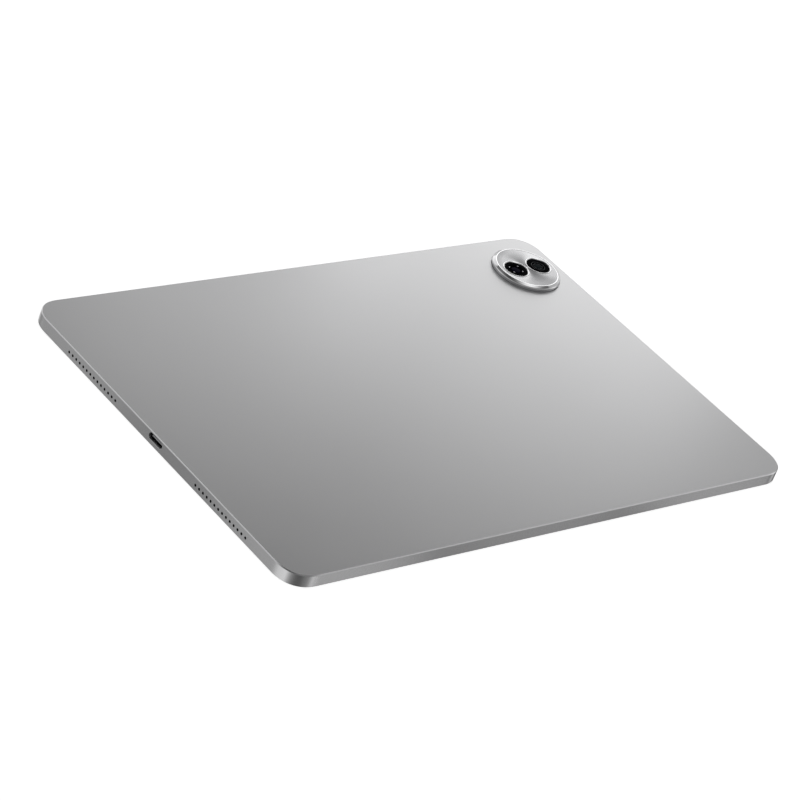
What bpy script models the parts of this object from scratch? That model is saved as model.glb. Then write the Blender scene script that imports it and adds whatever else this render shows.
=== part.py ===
"""Tablet computer, 12.3 inch class, lying screen down.

Frame: metres, +Z up. The glass front lies on z = 0 and the aluminium back faces
+Z. X runs along the long edge (USB-C on the -X short edge), Y along the short
edge, and the camera bump is in the (+X, +Y) corner of the back. The origin is
the middle of the glass front.
"""
import math

import bmesh
import bpy

MM = 0.001

# ---------------------------------------------------------------- dimensions
W = 274.5            # overall length along X, mm
H = 180.5            # overall width along Y, mm
T = 5.8              # thickness without the camera bump, mm
CORNER = 13.0        # reach of the rounded corner along each edge, mm
CORNER_POWER = 2.3   # corner curve: 2 is a circle, more is squarer
CORNER_SEGS = 8
RIM_Z = 0.3          # lower edge of the aluminium; the glass stands proud of it
WALL = 1.1           # side wall thickness
BACK_IN_Z = 4.95     # inner face of the back panel
CHAMFER = 0.35       # diamond-cut chamfer between back and side
GAP = 0.3            # gap between neighbouring pieces

GLASS_INSET = WALL + GAP
GLASS_T = 0.6
PANEL_INSET = 5.8    # the lit panel leaves an even black border
PANEL_Z = (0.9, 1.4)
FRAME_INSET = (GLASS_INSET, 2.8)
FRAME_Z = (0.9, 1.6)

SOUND_R = 0.55       # sound holes: rows of 14 each side of the middle
SOUND_COUNT = 14
SOUND_PITCH = 2.53
SOUND_FIRST = 27.5
SOUND_Z = 2.75

USB_Z = 3.6
USB_OPEN = (8.8, 2.9)
USB_SHELL_OUT = (8.7, 2.8)
USB_SHELL_IN = (8.3, 2.4)
USB_SHELL_X = (-135.8, -128.4)

BUMP_C = (116.3, 65.0)
BUMP_R = 16.1        # outside of the camera ring
PLATE_R = 14.0
PLATE_TOP = 7.95
LENS_PITCH = 13.7
LENS_RIM_R = 6.2
LENS_GLASS_R = 5.45

BOARD_Z = (2.6, 3.4)
CELL_Z = (1.7, 4.6)
FLEX_Z = (3.7, 3.85)

POWER_Y = 71.5       # middle of the power button on the +X edge
POWER_LEN = 10.0
VOLUME_X = 92.0      # middle of the volume rocker on the +Y edge
VOLUME_LEN = 24.0
KEY_Z = 3.0
KEY_HIGH = 2.0
KEY_PROUD = 0.4
SLOT_PLAY = 0.2

SCREW_POINTS = {
    "board_screw_1": (63.5, -46.5),
    "board_screw_2": (108.8, -46.5),
    "board_screw_3": (108.8, 48.0),
    "board_screw_4": (63.5, 80.0),
    "usb_board_screw_1": (-114.5, 14.0),
    "usb_board_screw_2": (-114.5, -14.0),
}

for old in list(bpy.data.objects):
    bpy.data.objects.remove(old, do_unlink=True)


# ---------------------------------------------------------------- materials
def finish(name, colour, roughness, metallic=0.0):
    mat = bpy.data.materials.new(name)
    mat.use_nodes = True
    bsdf = mat.node_tree.nodes["Principled BSDF"]
    bsdf.inputs["Base Color"].default_value = (*colour, 1.0)
    bsdf.inputs["Roughness"].default_value = roughness
    bsdf.inputs["Metallic"].default_value = metallic
    return mat


SILVER = finish("satin_silver", (0.72, 0.72, 0.73), 0.38, 1.0)
POLISH = finish("polished_ring", (0.82, 0.82, 0.83), 0.12, 1.0)
SPUN = finish("spun_plate", (0.78, 0.78, 0.79), 0.25, 1.0)
GLASS = finish("black_glass", (0.01, 0.01, 0.012), 0.04)
LENS = finish("lens_glass", (0.008, 0.008, 0.012), 0.02)
PANEL = finish("screen_panel", (0.015, 0.015, 0.018), 0.3)
BLACK = finish("black_plastic", (0.02, 0.02, 0.021), 0.5)
BOARD = finish("board_green", (0.02, 0.09, 0.05), 0.45)
CELL = finish("cell_foil", (0.03, 0.03, 0.033), 0.55)
FLEX = finish("flex_film", (0.28, 0.13, 0.02), 0.4)
CAN = finish("tinned_steel", (0.62, 0.62, 0.6), 0.3, 1.0)
GRAPHITE = finish("graphite_sheet", (0.05, 0.05, 0.05), 0.6)
MESH = finish("sound_mesh", (0.015, 0.015, 0.015), 0.8)
STEEL = finish("screw_steel", (0.5, 0.5, 0.5), 0.3, 1.0)
MAGNET = finish("plated_magnet", (0.6, 0.6, 0.58), 0.25, 1.0)
SENSOR = finish("sensor_black", (0.02, 0.02, 0.025), 0.3)


# ---------------------------------------------------------------- outlines
def outline(inset, segs=CORNER_SEGS):
    """The tablet's outline moved inwards by inset, anticlockwise, in mm."""
    hx, hy, a = W / 2 - inset, H / 2 - inset, CORNER - inset
    pts = []
    for sx, sy, start in ((1, 1, 0), (-1, 1, 1), (-1, -1, 2), (1, -1, 3)):
        for k in range(segs + 1):
            t = (k / segs) * math.pi / 2
            if start % 2:
                t = math.pi / 2 - t
            c, s = math.cos(t) ** (2 / CORNER_POWER), math.sin(t) ** (2 / CORNER_POWER)
            pts.append((sx * (hx - a + a * c), sy * (hy - a + a * s)))
    return pts


def rounded(x0, x1, y0, y1, r, segs=3):
    pts = []
    for cx, cy, q in ((x1 - r, y1 - r, 0), (x0 + r, y1 - r, 1), (x0 + r, y0 + r, 2), (x1 - r, y0 + r, 3)):
        for k in range(segs + 1):
            t = (q + k / segs) * math.pi / 2
            pts.append((cx + r * math.cos(t), cy + r * math.sin(t)))
    return pts


def pill(width, height, segs=6):
    """A stadium outline centred on 0,0, width along the first axis."""
    r = height / 2
    pts = []
    for side in (1, -1):
        for k in range(segs + 1):
            t = -math.pi / 2 + math.pi * k / segs
            pts.append((side * (width / 2 - r + r * math.cos(t)), side * r * math.sin(t)))
    return pts


# ---------------------------------------------------------------- builders
def place(name, bm, mat, at=(0, 0, 0), smooth=False):
    """Make an object from a bmesh in mm whose origin is at the point at."""
    bmesh.ops.recalc_face_normals(bm, faces=bm.faces[:])
    for v in bm.verts:
        v.co = ((v.co.x - at[0]) * MM, (v.co.y - at[1]) * MM, (v.co.z - at[2]) * MM)
    me = bpy.data.meshes.new(name)
    bm.to_mesh(me)
    bm.free()
    if mat:
        me.materials.append(mat)
    ob = bpy.data.objects.new(name, me)
    ob.location = (at[0] * MM, at[1] * MM, at[2] * MM)
    bpy.context.scene.collection.objects.link(ob)
    if smooth:
        me.shade_smooth()
        me.set_sharp_from_angle(angle=math.radians(35))
    return ob


def loft(loops):
    """Closed solid through matching loops, capped at both ends."""
    bm = bmesh.new()
    rows = [[bm.verts.new(p) for p in loop] for loop in loops]
    n = len(rows[0])
    for a, b in zip(rows, rows[1:]):
        for i in range(n):
            j = (i + 1) % n
            bm.faces.new((a[i], a[j], b[j], b[i]))
    bm.faces.new(rows[0])
    bm.faces.new(rows[-1])
    return bm


def tube_loft(loops):
    """Closed ring through matching loops, the last joined to the first."""
    bm = bmesh.new()
    rows = [[bm.verts.new(p) for p in loop] for loop in loops]
    n = len(rows[0])
    for a, b in zip(rows, rows[1:] + rows[:1]):
        for i in range(n):
            j = (i + 1) % n
            bm.faces.new((a[i], a[j], b[j], b[i]))
    return bm


def up(pts, z):
    return [(x, y, z) for x, y in pts]


def slab(name, pts, z0, z1, mat, at=(0, 0, 0)):
    return place(name, loft([up(pts, z0), up(pts, z1)]), mat, at)


def box(name, x0, x1, y0, y1, z0, z1, mat, at=(0, 0, 0)):
    return slab(name, [(x0, y0), (x1, y0), (x1, y1), (x0, y1)], z0, z1, mat, at)


def turned(profile, centre, segs):
    """Ring or disc turned about Z from a closed (radius, z) profile."""
    bm = bmesh.new()
    rows = []
    for r, z in profile:
        rows.append([
            bm.verts.new((centre[0] + r * math.cos(2 * math.pi * k / segs),
                          centre[1] + r * math.sin(2 * math.pi * k / segs), z))
            for k in range(segs)
        ])
    for a, b in zip(rows, rows[1:] + rows[:1]):
        for i in range(segs):
            j = (i + 1) % segs
            bm.faces.new((a[i], a[j], b[j], b[i]))
    return bm


def disc(levels, centre, segs):
    """Solid of revolution through (radius, z) levels, capped at both ends."""
    return loft([
        [(centre[0] + r * math.cos(2 * math.pi * k / segs),
          centre[1] + r * math.sin(2 * math.pi * k / segs), z) for k in range(segs)]
        for r, z in levels
    ])


def along_x(pts, x0, x1, y, z):
    return loft([[(x, y + a, z + b) for a, b in pts] for x in (x0, x1)])


def along_y(pts, y0, y1, x, z):
    return loft([[(x + a, y, z + b) for a, b in pts] for y in (y0, y1)])


def tool(name, bm):
    """A cutting or joining guide; it isn't part of the tablet."""
    ob = place(name, bm, None)
    ob.hide_render = True
    ob.display_type = "WIRE"
    return ob


def boolean(target, guide, kind="DIFFERENCE"):
    mod = target.modifiers.new(guide.name, "BOOLEAN")
    mod.operation = kind
    mod.solver = "EXACT"
    mod.object = guide


def gather(parts):
    """Put several bmeshes into one."""
    out = bmesh.new()
    for part in parts:
        bmesh.ops.recalc_face_normals(part, faces=part.faces[:])
        table = {v: out.verts.new(v.co) for v in part.verts}
        for f in part.faces:
            out.faces.new([table[v] for v in f.verts])
        part.free()
    return out


# ---------------------------------------------------------------- rear housing
housing = place("rear_housing", loft([
    up(outline(CHAMFER), T),
    up(outline(0.0), T - CHAMFER),
    up(outline(0.0), RIM_Z + 0.15),
    up(outline(0.15), RIM_Z),
    up(outline(WALL), RIM_Z),
    up(outline(WALL), BACK_IN_Z),
]), SILVER)

# Posts under the back panel take the board screws.
boolean(housing, tool("guide_posts", gather([
    disc([(1.6, BOARD_Z[1] + GAP), (1.6, BACK_IN_Z + 0.3)], c, 10)
    for c in SCREW_POINTS.values()
])), "UNION")
boolean(housing, tool("guide_post_holes", gather([
    disc([(0.75, BOARD_Z[1]), (0.75, 4.6)], c, 10) for c in SCREW_POINTS.values()
])))

# Round pocket for the camera ring, and the hole that the cameras look through.
boolean(housing, tool("guide_ring_pocket", disc([(BUMP_R + 0.2, 5.3), (BUMP_R + 0.2, T + 1)], BUMP_C, 48)))
boolean(housing, tool("guide_camera_hole", disc([(13.2, 4.0), (13.2, T + 1)], BUMP_C, 40)))

# Sound holes in both short edges.
sound_y = [s * (SOUND_FIRST + k * SOUND_PITCH) for s in (1, -1) for k in range(SOUND_COUNT)]
round8 = [(SOUND_R * math.cos(math.pi * (k + 0.5) / 4), SOUND_R * math.sin(math.pi * (k + 0.5) / 4)) for k in range(8)]
boolean(housing, tool("guide_sound_holes", gather([
    along_x(round8, *ends, y, SOUND_Z)
    for ends in ((-W / 2 - 1, -W / 2 + WALL + 0.5), (W / 2 - WALL - 0.5, W / 2 + 1))
    for y in sound_y
])))

# USB-C opening, and the relief in the back panel over the connector.
boolean(housing, tool("guide_usb_opening", along_x(pill(*USB_OPEN), -W / 2 - 1, -W / 2 + WALL + 0.5, 0, USB_Z)))
boolean(housing, tool("guide_usb_relief", loft([
    up([(-136.0, -5.2), (-127.5, -5.2), (-127.5, 5.2), (-136.0, 5.2)], z) for z in (4.5, 5.35)
])))

# Slots for the power button and the volume rocker, and two microphone holes.
boolean(housing, tool("guide_power_slot", along_x(
    pill(POWER_LEN + 2 * SLOT_PLAY, KEY_HIGH + 2 * SLOT_PLAY, 4), W / 2 - WALL - 0.5, W / 2 + 1, POWER_Y, KEY_Z)))
boolean(housing, tool("guide_volume_slot", along_y(
    pill(VOLUME_LEN + 2 * SLOT_PLAY, KEY_HIGH + 2 * SLOT_PLAY, 4), H / 2 - WALL - 0.5, H / 2 + 1, VOLUME_X, KEY_Z)))
mic8 = [(0.4 * math.cos(math.pi * (k + 0.5) / 4), 0.4 * math.sin(math.pi * (k + 0.5) / 4)) for k in range(8)]
boolean(housing, tool("guide_mic_holes", gather([
    along_y(mic8, H / 2 - WALL - 0.5, H / 2 + 1, x, KEY_Z) for x in (-30.0, 30.0)
])))

# ---------------------------------------------------------------- screen stack
place("cover_glass", loft([
    up(outline(GLASS_INSET + 0.15), 0.0),
    up(outline(GLASS_INSET), 0.15),
    up(outline(GLASS_INSET), GLASS_T),
]), GLASS)
slab("display_panel", outline(PANEL_INSET, 4), *PANEL_Z, PANEL)
place("display_frame", tube_loft([
    up(outline(FRAME_INSET[0]), FRAME_Z[0]),
    up(outline(FRAME_INSET[0]), FRAME_Z[1]),
    up(outline(FRAME_INSET[1]), FRAME_Z[1]),
    up(outline(FRAME_INSET[1]), FRAME_Z[0]),
]), BLACK)

# ---------------------------------------------------------------- camera bump
place("camera_ring", turned([
    (BUMP_R, 5.6), (BUMP_R, 7.05), (BUMP_R - 0.08, 7.2), (BUMP_R - 0.3, 7.32),
    (14.45, 8.02), (14.3, 8.02), (14.25, 7.95), (14.25, 6.6), (13.0, 6.6), (13.0, 5.6),
], BUMP_C, 56), POLISH, smooth=True)

lens_at = {"main": (BUMP_C[0] + LENS_PITCH / 2, BUMP_C[1]), "second": (BUMP_C[0] - LENS_PITCH / 2, BUMP_C[1])}
plate = place("camera_plate", disc([(13.9, 6.9), (PLATE_R, 7.0), (PLATE_R, PLATE_TOP - 0.05), (PLATE_R - 0.05, PLATE_TOP)], BUMP_C, 56), SPUN)
boolean(plate, tool("guide_lens_holes", gather([
    disc([(LENS_RIM_R + 0.2, 6.0), (LENS_RIM_R + 0.2, 9.0)], c, 32) for c in lens_at.values()
])))

for key, c in lens_at.items():
    place("lens_rim_" + key, turned([
        (LENS_RIM_R, 6.9), (LENS_RIM_R, 8.08), (LENS_RIM_R - 0.1, 8.15), (LENS_RIM_R - 0.35, 8.12),
        (LENS_GLASS_R + 0.2, 7.95), (LENS_GLASS_R + 0.2, 6.9),
    ], c, 32), POLISH, smooth=True)
    place("lens_glass_" + key, disc([(LENS_GLASS_R, 7.3), (LENS_GLASS_R, 7.95)], c, 28), LENS)

# Camera modules: a square body with a round barrel under each lens.
for key, half, barrel, low in (("main", 5.0, 4.2, 2.3), ("second", 4.4, 3.6, 2.9)):
    c = lens_at[key]
    body = slab("camera_module_" + key, rounded(c[0] - half, c[0] + half, c[1] - half, c[1] + half, 0.8, 2), low, 4.6, SENSOR)
    boolean(body, tool("guide_barrel_" + key, disc([(barrel, 4.2), (barrel, 6.9)], c, 20)), "UNION")

# The bracket bridges both modules from the screen side.
box("camera_bracket", 102.0, 130.0, 58.6, 71.4, 1.75, 1.95, CAN)
slab("camera_flex_main", [
    (91.0, 72.2), (118.5, 72.2), (118.5, 70.3), (127.5, 70.3), (127.5, 75.2), (91.0, 75.2),
], *FLEX_Z, FLEX)
box("camera_flex_second", 92.0, 104.6, 63.0, 67.0, *FLEX_Z, FLEX)

# ---------------------------------------------------------------- battery
slab("battery_cell_left", rounded(-108.0, -28.0, -80.0, 80.0, 2.0), *CELL_Z, CELL)
slab("battery_cell_right", rounded(-27.0, 53.0, -80.0, 80.0, 2.0), *CELL_Z, CELL)
box("battery_board", -62.0, -15.0, 80.6, 85.2, 2.6, 3.2, BOARD)
box("battery_flex", -20.0, 61.0, 80.5, 83.0, *FLEX_Z, FLEX)

# ---------------------------------------------------------------- main board
board = slab("main_board", [(58.0, -50.0), (112.0, -50.0), (112.0, 52.0), (98.0, 52.0), (98.0, 83.0), (58.0, 83.0)], *BOARD_Z, BOARD)
usb_board = slab("usb_board", [
    (-133.5, -19.0), (-111.5, -19.0), (-111.5, 19.0), (-133.5, 19.0), (-133.5, 4.8), (-128.0, 4.8), (-128.0, -4.8), (-133.5, -4.8),
], *BOARD_Z, BOARD)
screw_holes = tool("guide_board_holes", gather([
    disc([(0.75, 2.0), (0.75, 4.0)], c, 10) for n, c in SCREW_POINTS.items() if n.startswith("board")
]))
boolean(board, screw_holes)
usb_holes = tool("guide_usb_board_holes", gather([
    disc([(0.75, 2.0), (0.75, 4.0)], c, 10) for n, c in SCREW_POINTS.items() if n.startswith("usb")
]))
boolean(usb_board, usb_holes)


def can(name, x0, x1, y0, y1, z0, z1, skin=0.2):
    """Pressed shield can, open towards the board."""
    bm = loft([
        up([(x0 + skin, y0 + skin), (x1 - skin, y0 + skin), (x1 - skin, y1 - skin), (x0 + skin, y1 - skin)], z1 - skin),
        up([(x0 + skin, y0 + skin), (x1 - skin, y0 + skin), (x1 - skin, y1 - skin), (x0 + skin, y1 - skin)], z0),
        up([(x0, y0), (x1, y0), (x1, y1), (x0, y1)], z0),
        up([(x0, y0), (x1, y0), (x1, y1), (x0, y1)], z1),
    ])
    return place(name, bm, CAN)


can("shield_can_processor", 67.0, 101.0, 6.0, 44.0, 3.7, 4.3)
can("shield_can_power", 67.0, 101.0, -44.0, -4.0, 3.7, 4.3)
can("shield_can_radio", 67.0, 89.0, 54.0, 76.0, 3.7, 4.3)
box("heat_spreader", 66.0, 104.0, -44.5, 45.0, 4.55, 4.67, GRAPHITE)

for name, c in SCREW_POINTS.items():
    place(name, disc([(1.1, 1.95), (1.1, 2.3), (0.45, 2.3), (0.45, 4.3)], c, 10), STEEL)

# ---------------------------------------------------------------- USB-C
place("usb_c_shell", tube_loft([
    [(x, a, USB_Z + b) for a, b in pill(*size)]
    for x, size in ((USB_SHELL_X[0], USB_SHELL_OUT), (USB_SHELL_X[1], USB_SHELL_OUT),
                    (USB_SHELL_X[1], USB_SHELL_IN), (USB_SHELL_X[0], USB_SHELL_IN))
]), CAN)
tongue = place("usb_c_tongue", along_x([(-3.6, -0.85), (3.6, -0.85), (3.6, 0.85), (-3.6, 0.85)], -130.2, -128.0, 0, USB_Z), BLACK)
boolean(tongue, tool("guide_tongue", along_x([(-3.35, -0.35), (3.35, -0.35), (3.35, 0.35), (-3.35, 0.35)], -135.2, -129.5, 0, USB_Z)), "UNION")

# Flat cable round the near edge, from the USB-C board to the main board.
slab("link_flex", [
    (-118.0, -8.0), (-118.0, 0.0), (-109.0, 0.0), (-109.0, -81.0), (61.0, -81.0), (61.0, -49.5), (70.0, -49.5),
    (70.0, -85.5), (-113.0, -85.5), (-113.0, -8.0),
], *FLEX_Z, FLEX)

# Folded cable from the panel to the main board.
place("display_flex", loft([
    [(x, y, z) for y, z in ((-72.0, 1.7), (-60.0, 1.7), (-60.0, 1.85), (-71.85, 1.85), (-71.85, 3.7), (-47.0, 3.7), (-47.0, 3.85), (-72.0, 3.85))]
    for x in (78.0, 96.0)
]), FLEX)

# ---------------------------------------------------------------- speakers
for name, x0, x1, y0, y1 in (
    ("speaker_box_left_far", -134.9, -115.5, 24.0, 72.0),
    ("speaker_box_left_near", -134.9, -115.5, -72.0, -24.0),
    ("speaker_box_right_near", 115.5, 134.9, -72.0, -24.0),
    ("speaker_box_right_far", 115.5, 134.9, 10.0, 57.6),
):
    slab(name, rounded(x0, x1, y0, y1, 1.5, 2), 1.7, 4.6, BLACK)
for name, s, t in (("left_far", -1, 1), ("left_near", -1, -1), ("right_far", 1, 1), ("right_near", 1, -1)):
    xs = sorted((s * 135.85, s * 135.25))
    ys = sorted((t * 26.0, t * 62.0))
    box("speaker_mesh_" + name, *xs, *ys, 1.8, 3.9, MESH)

# ---------------------------------------------------------------- power button
# The cap runs through the slot; a flange inside the wall holds it in.
cap_end = W / 2 + KEY_PROUD
power = place("power_button", loft([
    [(x, POWER_Y + a, KEY_Z + b) for a, b in pill(POWER_LEN - 2 * d, KEY_HIGH - 2 * d, 4)]
    for x, d in ((W / 2 - WALL - 0.8, 0.0), (cap_end - 0.15, 0.0), (cap_end, 0.15))
]), SILVER, at=(W / 2, POWER_Y, KEY_Z))
boolean(power, tool("guide_power_flange", loft([
    up([(W / 2 - WALL - 0.8, POWER_Y - 6.2), (W / 2 - WALL - 0.3, POWER_Y - 6.2),
        (W / 2 - WALL - 0.3, POWER_Y + 6.2), (W / 2 - WALL - 0.8, POWER_Y + 6.2)], z)
    for z in (KEY_Z - 1.1, KEY_Z + 1.1)
])), "UNION")
box("power_button_pad", 134.1, 135.0, POWER_Y - 1.0, POWER_Y + 1.0, KEY_Z - 0.7, KEY_Z + 0.7, BLACK, at=(W / 2, POWER_Y, KEY_Z))
box("power_switch", 132.6, 133.7, POWER_Y - 2.0, POWER_Y + 2.0, KEY_Z - 1.1, KEY_Z + 1.1, STEEL)
box("power_bracket", 132.0, 132.3, POWER_Y - 5.0, POWER_Y + 5.0, 1.8, 4.6, CAN)

# ---------------------------------------------------------------- volume rocker
# One long key that tips about its middle onto a switch near each end.
rock_end = H / 2 + KEY_PROUD
rocker = place("volume_rocker", loft([
    [(VOLUME_X + a, y, KEY_Z + b) for a, b in pill(VOLUME_LEN - 2 * d, KEY_HIGH - 2 * d, 4)]
    for y, d in ((H / 2 - WALL - 0.9, 0.0), (rock_end - 0.15, 0.0), (rock_end, 0.15))
]), SILVER, at=(VOLUME_X, H / 2, KEY_Z))
boolean(rocker, tool("guide_rocker_flange", loft([
    up([(VOLUME_X - 13.2, H / 2 - WALL - 0.9), (VOLUME_X + 13.2, H / 2 - WALL - 0.9),
        (VOLUME_X + 13.2, H / 2 - WALL - 0.45), (VOLUME_X - 13.2, H / 2 - WALL - 0.45)], z)
    for z in (KEY_Z - 1.1, KEY_Z + 1.1)
])), "UNION")
for name, x in (("volume_switch_up", VOLUME_X + 8.5), ("volume_switch_down", VOLUME_X - 8.5)):
    box(name, x - 2.0, x + 2.0, 86.7, 87.9, KEY_Z - 1.1, KEY_Z + 1.1, STEEL)
box("volume_bracket", VOLUME_X - 12.5, VOLUME_X + 12.5, 86.1, 86.4, 1.8, 4.6, CAN)

# ---------------------------------------------------------------- front sensors
front = slab("front_camera_module", rounded(-3.2, 3.2, 83.4, 88.6, 0.5, 2), 2.3, 4.5, SENSOR)
boolean(front, tool("guide_front_barrel", disc([(1.1, 0.9), (1.1, 2.6)], (0.0, 86.0), 16)), "UNION")
box("light_sensor", 10.8, 13.2, 85.2, 86.8, 0.9, 2.1, SENSOR)
box("microphone_left", -31.5, -28.5, 87.2, 88.8, 2.4, 3.6, CAN)
box("microphone_right", 28.5, 31.5, 87.2, 88.8, 2.4, 3.6, CAN)

# ---------------------------------------------------------------- antennas, magnets
box("antenna_left", -112.0, -78.0, 84.5, 88.7, 1.9, 4.5, BLACK)
box("antenna_right", 106.5, 118.0, 84.5, 88.7, 1.9, 4.5, BLACK)
box("folio_magnet_left", -90.0, -50.0, -88.8, -86.2, 1.9, 4.5, MAGNET)
box("folio_magnet_right", 50.0, 90.0, -88.8, -86.2, 1.9, 4.5, MAGNET)
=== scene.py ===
"""Looks of the tablet computer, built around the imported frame.

The visible outside (housing, glass front, camera bump, keys, USB-C socket) is
rebuilt finer than the CAD solids, in the same place and size. The inner pieces
keep their CAD meshes and get their finishes here.
"""

import math

import bmesh
import bpy
from mathutils import Matrix, Vector


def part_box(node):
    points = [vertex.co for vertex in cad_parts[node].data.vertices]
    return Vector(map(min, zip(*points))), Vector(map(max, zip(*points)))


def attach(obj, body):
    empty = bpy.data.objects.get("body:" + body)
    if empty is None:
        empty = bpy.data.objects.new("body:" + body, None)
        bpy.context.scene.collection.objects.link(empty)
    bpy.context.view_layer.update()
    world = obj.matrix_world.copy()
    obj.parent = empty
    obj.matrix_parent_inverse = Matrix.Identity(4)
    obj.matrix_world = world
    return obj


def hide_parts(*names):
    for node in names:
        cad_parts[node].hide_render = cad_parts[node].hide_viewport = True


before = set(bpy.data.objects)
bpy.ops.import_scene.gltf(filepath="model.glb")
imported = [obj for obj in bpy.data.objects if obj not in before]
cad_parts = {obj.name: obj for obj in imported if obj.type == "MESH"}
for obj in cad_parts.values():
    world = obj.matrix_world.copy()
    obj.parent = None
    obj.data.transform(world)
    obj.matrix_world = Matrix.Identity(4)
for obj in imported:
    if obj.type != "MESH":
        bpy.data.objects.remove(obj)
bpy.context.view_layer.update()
scene = bpy.context.scene

MM = 0.001


# ---------------------------------------------------------------- places, in mm
def box_mm(node):
    lo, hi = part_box(node)
    return lo / MM, hi / MM


def middle(node):
    lo, hi = box_mm(node)
    return (lo + hi) / 2


H_LO, H_HI = box_mm("rear_housing")
W, H, T, RIM_Z = H_HI.x - H_LO.x, H_HI.y - H_LO.y, H_HI.z, H_LO.z
CORNER, CORNER_POWER = 13.0, 2.3
WALL, BACK_IN_Z, CHAMFER = 1.1, 4.95, 0.35
G_LO, G_HI = box_mm("cover_glass")
GLASS_INSET = W / 2 - G_HI.x
PANEL_INSET = W / 2 - box_mm("display_panel")[1].x
R_LO, R_HI = box_mm("camera_ring")
BUMP_C = ((R_LO.x + R_HI.x) / 2, (R_LO.y + R_HI.y) / 2)
BUMP_R = (R_HI.x - R_LO.x) / 2
RING_TOP = R_HI.z
PLATE_TOP = box_mm("camera_plate")[1].z
LENS = {}
for key in ("main", "second"):
    m = middle("lens_rim_" + key)
    LENS[key] = (m.x, m.y)
RIM_LO, RIM_HI = box_mm("lens_rim_main")
RIM_R, RIM_TOP = (RIM_HI.x - RIM_LO.x) / 2, RIM_HI.z
L_LO, L_HI = box_mm("lens_glass_main")
LENS_R, LENS_TOP = (L_HI.x - L_LO.x) / 2, L_HI.z
USB_LO, USB_HI = box_mm("usb_c_shell")
USB_Z = (USB_LO.z + USB_HI.z) / 2
P_LO, P_HI = box_mm("power_button")
V_LO, V_HI = box_mm("volume_rocker")
POWER_Y, VOLUME_X, KEY_Z = (P_LO.y + P_HI.y) / 2, (V_LO.x + V_HI.x) / 2, (P_LO.z + P_HI.z) / 2
POWER_LEN, VOLUME_LEN, KEY_HIGH = 10.0, 24.0, 2.0
SOUND_R, SOUND_COUNT, SOUND_PITCH, SOUND_FIRST, SOUND_Z = 0.55, 14, 2.53, 27.5, 2.75
SCREWS = [middle(n) for n in sorted(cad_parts) if "board_screw" in n]


# ---------------------------------------------------------------- camera
camera_data = bpy.data.cameras.new("view_camera")
camera = bpy.data.objects.new("view_camera", camera_data)
scene.collection.objects.link(camera)
right = Vector((0.7391224220, -0.5985001883, 0.3090235751))
down = Vector((-0.1317883932, -0.5784131516, -0.8050279781))
ahead = Vector((0.6605526964, 0.5542885085, -0.5063935077))
camera.matrix_world = Matrix((
    (right.x, -down.x, -ahead.x, -0.8503143562),
    (right.y, -down.y, -ahead.y, -0.7046692580),
    (right.z, -down.z, -ahead.z, 0.6458532630),
    (0.0, 0.0, 0.0, 1.0),
))
camera_data.sensor_width = 36.0
camera_data.lens = 140.22
camera_data.clip_start, camera_data.clip_end = 0.01, 50.0
scene.camera = camera
scene.view_settings.view_transform = "Standard"


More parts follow.
